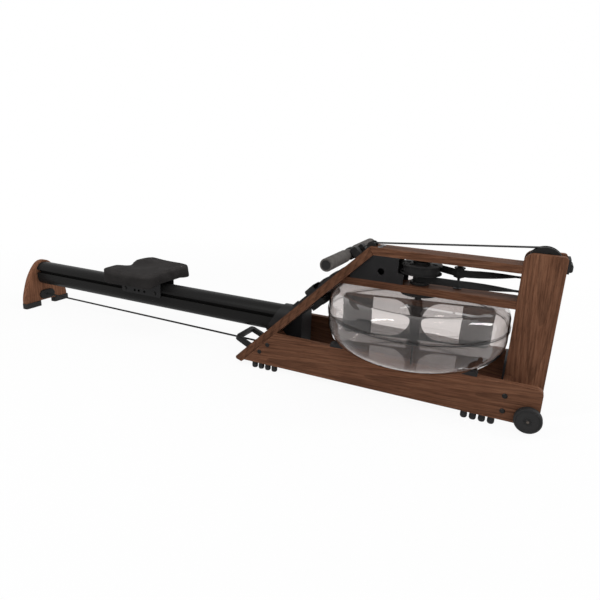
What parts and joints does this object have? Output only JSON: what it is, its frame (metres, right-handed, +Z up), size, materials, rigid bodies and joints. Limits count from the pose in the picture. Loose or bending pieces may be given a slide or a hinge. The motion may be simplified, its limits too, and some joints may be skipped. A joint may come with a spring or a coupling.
{
  "type": "rowing machine",
  "caption": "Low wooden rowing machine: sliding seat on a long black rail, sloping footboard, pull handle on a strap and a round clear water tank between the base boards.",
  "frame": {"origin": "on the floor, below the middle of the overall box", "axes": "+X along the rail towards the tank end, -Y the side nearest the camera, +Z up"},
  "size_m": [2.11, 0.56, 0.499],
  "materials": {
    "walnut": "oiled, satin",
    "black_steel": "powder coat",
    "black_alloy": "black anodised",
    "black_plastic": "fine texture",
    "rubber": "matte",
    "dark_steel": "blackened",
    "smoke_clear": "clear, lightly smoked",
    "smoke_grey": "clear, smoked grey",
    "webbing": "woven",
    "foam": "fine foam",
    "seat_cover": "matte, lightly grained"
  },
  "bodies": {
    "frame": {"base_board_near": "walnut", "base_board_far": "walnut", "front_cross_beam": "walnut", "front_tie_plate": "black_steel", "footboard_cleats": "walnut", "footboard": "walnut", "top_deck": "walnut", "mid_deck": "walnut", "upright_near": "walnut", "upright_far": "walnut", "gusset_near": "black_steel", "gusset_far": "black_steel", "monorail": "black_alloy", "rail_socket": "black_plastic", "rail_bracket": "black_steel", "rear_leg": "walnut", "bungee_anchor": "black_plastic", "grab_handle": "black_plastic", "rubber_feet": "rubber", "frame_bolts": "dark_steel", "tank_lower": "smoke_clear", "tank_upper": "smoke_clear", "tank_gasket": "rubber", "tank_pads": "black_plastic", "bearing_housing": "black_plastic", "idler_bracket": "black_steel", "pulley_axles": "dark_steel", "drive_strap": "webbing", "recoil_strap": "webbing", "bungee": "webbing", "strap_guide": "black_plastic", "footplate_near": "black_plastic", "footplate_far": "black_plastic", "foot_strap_near": "webbing", "foot_strap_far": "webbing", "front_bumper": "rubber"},
    "seat": {"seat_pad": "seat_cover", "carriage": "black_steel", "carriage_axles": "dark_steel"},
    "handle": {"handle_bar": "dark_steel", "handle_clamp": "black_plastic", "handle_grip_near": "foam", "handle_grip_far": "foam"},
    "paddle": {"paddle": "smoke_grey"},
    "drum": {"drive_drum": "black_plastic"},
    "idler": {"idler_roller": "black_plastic"},
    "drive_pulley": {"drive_pulley": "black_plastic"},
    "recoil_top": {"recoil_pulley_top": "black_plastic"},
    "recoil_bottom": {"recoil_pulley_bottom": "black_plastic"},
    "coupler": {"coupler": "black_plastic"},
    "wheel_near": {"wheel_near": "black_plastic"},
    "wheel_far": {"wheel_far": "black_plastic"},
    "heel_near": {"heel_rest_near": "black_plastic"},
    "heel_far": {"heel_rest_far": "black_plastic"},
    "roller_rear_near": {"roller_rear_near": "black_plastic"},
    "roller_rear_far": {"roller_rear_far": "black_plastic"},
    "roller_front_near": {"roller_front_near": "black_plastic"},
    "roller_front_far": {"roller_front_far": "black_plastic"}
  },
  "joints": [
    {"name": "seat_slide", "type": "slide", "parent": "frame", "child": "seat", "axis": [1, 0, 0], "range_m": [-0.46, 0.44]},
    {"name": "handle_slide", "type": "slide", "parent": "frame", "child": "handle", "axis": [-0.9929, 0, 0.1191], "range_m": [0, 1.1], "deforming": ["drive_strap", "recoil_strap", "bungee"]},
    {"name": "drive_pulley_spin", "type": "hinge", "parent": "frame", "child": "drive_pulley", "pos_m": [0.984, 0, 0.45], "axis": [0, 1, 0], "continuous": true},
    {"name": "drum_spin", "type": "hinge", "parent": "frame", "child": "drum", "pos_m": [0.648, 0, 0.393], "axis": [0, 0, 1], "continuous": true},
    {"name": "idler_spin", "type": "hinge", "parent": "frame", "child": "idler", "pos_m": [0.76, 0.015, 0.393], "axis": [0, 0, 1], "continuous": true},
    {"name": "recoil_top_spin", "type": "hinge", "parent": "frame", "child": "recoil_top", "pos_m": [0.984, 0, 0.3385], "axis": [0, 1, 0], "continuous": true},
    {"name": "recoil_bottom_spin", "type": "hinge", "parent": "frame", "child": "recoil_bottom", "pos_m": [0.984, 0, 0.0595], "axis": [0, 1, 0], "continuous": true},
    {"name": "coupler_slide", "type": "slide", "parent": "frame", "child": "coupler", "axis": [1, 0, 0], "range_m": [0, 0.42]},
    {"name": "paddle_spin", "type": "hinge", "parent": "frame", "child": "paddle", "pos_m": [0.648, 0, 0.245], "axis": [0, 0, 1], "continuous": true},
    {"name": "wheel_near_spin", "type": "hinge", "parent": "frame", "child": "wheel_near", "pos_m": [1.0095, -0.152, 0.045], "axis": [0, 1, 0], "continuous": true},
    {"name": "wheel_far_spin", "type": "hinge", "parent": "frame", "child": "wheel_far", "pos_m": [1.0095, 0.152, 0.045], "axis": [0, 1, 0], "continuous": true},
    {"name": "heel_near_slide", "type": "slide", "parent": "frame", "child": "heel_near", "axis": [0.7071, 0, 0.7071], "range_m": [0, 0.045]},
    {"name": "heel_far_slide", "type": "slide", "parent": "frame", "child": "heel_far", "axis": [0.7071, 0, 0.7071], "range_m": [0, 0.045]},
    {"name": "roller_rear_near_spin", "type": "hinge", "parent": "seat", "child": "roller_rear_near", "pos_m": [-0.519, -0.027, 0.1605], "axis": [0, 1, 0], "continuous": true},
    {"name": "roller_rear_far_spin", "type": "hinge", "parent": "seat", "child": "roller_rear_far", "pos_m": [-0.519, 0.027, 0.1605], "axis": [0, 1, 0], "continuous": true},
    {"name": "roller_front_near_spin", "type": "hinge", "parent": "seat", "child": "roller_front_near", "pos_m": [-0.37, -0.027, 0.1605], "axis": [0, 1, 0], "continuous": true},
    {"name": "roller_front_far_spin", "type": "hinge", "parent": "seat", "child": "roller_front_far", "pos_m": [-0.37, 0.027, 0.1605], "axis": [0, 1, 0], "continuous": true}
  ],
  "couplings": [
    {"joint": "roller_rear_near_spin", "follows": "seat_slide", "rad_per_m": 68.027},
    {"joint": "roller_rear_far_spin", "follows": "seat_slide", "rad_per_m": 68.027},
    {"joint": "roller_front_near_spin", "follows": "seat_slide", "rad_per_m": 68.027},
    {"joint": "roller_front_far_spin", "follows": "seat_slide", "rad_per_m": 68.027},
    {"joint": "drive_pulley_spin", "follows": "handle_slide", "rad_per_m": -21.505},
    {"joint": "drum_spin", "follows": "handle_slide", "rad_per_m": -17.699},
    {"joint": "idler_spin", "follows": "handle_slide", "rad_per_m": 66.667},
    {"joint": "recoil_top_spin", "follows": "handle_slide", "rad_per_m": -16.193},
    {"joint": "recoil_bottom_spin", "follows": "handle_slide", "rad_per_m": -16.193},
    {"joint": "coupler_slide", "follows": "handle_slide", "ratio": 0.38053}
  ]
}
